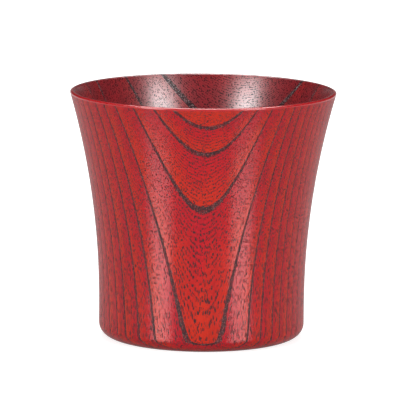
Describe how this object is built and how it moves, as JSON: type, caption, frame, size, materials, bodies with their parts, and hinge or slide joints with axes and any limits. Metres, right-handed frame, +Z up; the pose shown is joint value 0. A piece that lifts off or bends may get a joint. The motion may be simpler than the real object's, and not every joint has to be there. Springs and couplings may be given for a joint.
{
  "type": "lacquer cup",
  "caption": "Tall flared drinking cup turned from ring-porous wood and finished in translucent red lacquer, with a plain red lip and a flat standing foot.",
  "frame": {"origin": "middle of the flat face that the cup stands on", "axes": "+Z up along the cup's axis, from the foot to the lip; -Y towards the picture's viewpoint"},
  "size_m": [0.088, 0.088, 0.082],
  "materials": {
    "stained_wood": "bare worn wood, stained red",
    "outer_lacquer": "translucent red lacquer, soft gloss, the wood's rings showing through",
    "lip_lacquer": "plain red lacquer, glossy",
    "inner_lacquer": "deep red lacquer, glossy, the wood's rings showing through",
    "foot_lacquer": "deep red lacquer, soft gloss"
  },
  "bodies": {
    "root": {"wooden_body": "stained_wood", "outer_lacquer": "outer_lacquer", "lip_lacquer": "lip_lacquer", "inner_lacquer": "inner_lacquer", "foot_hollow_lacquer": "foot_lacquer"}
  },
  "joints": []
}
